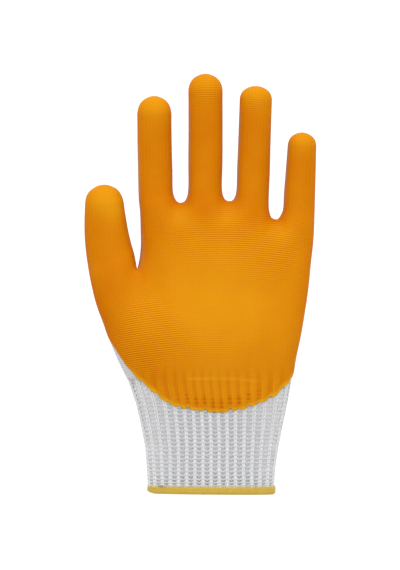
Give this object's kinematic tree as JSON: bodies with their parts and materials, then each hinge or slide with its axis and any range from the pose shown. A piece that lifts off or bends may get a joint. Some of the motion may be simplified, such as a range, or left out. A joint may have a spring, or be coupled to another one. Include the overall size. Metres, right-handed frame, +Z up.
{
  "type": "nitrile coated glove",
  "caption": "Seamless knitted work glove for the left hand, lying palm up, with nitrile on the palm and fingertips, a ribbed cuff and a bound hem.",
  "frame": {"origin": "on the surface the glove lies on, under the middle of its box", "axes": "+Z up out of the palm, +Y from the hem to the fingertips, thumb towards -X"},
  "size_m": [0.1396, 0.2522, 0.0301],
  "materials": {
    "knit": "undyed knitted polyester",
    "overlock": "yellow overlock yarn",
    "nitrile": "orange nitrile, satin, with the knit showing through"
  },
  "bodies": {
    "root": {"hand": "knit", "thumb": "knit", "index_finger": "knit", "middle_finger": "knit", "ring_finger": "knit", "little_finger": "knit", "rib_cuff": "knit", "hem_binding": "overlock", "palm_coating": "nitrile"}
  },
  "joints": []
}
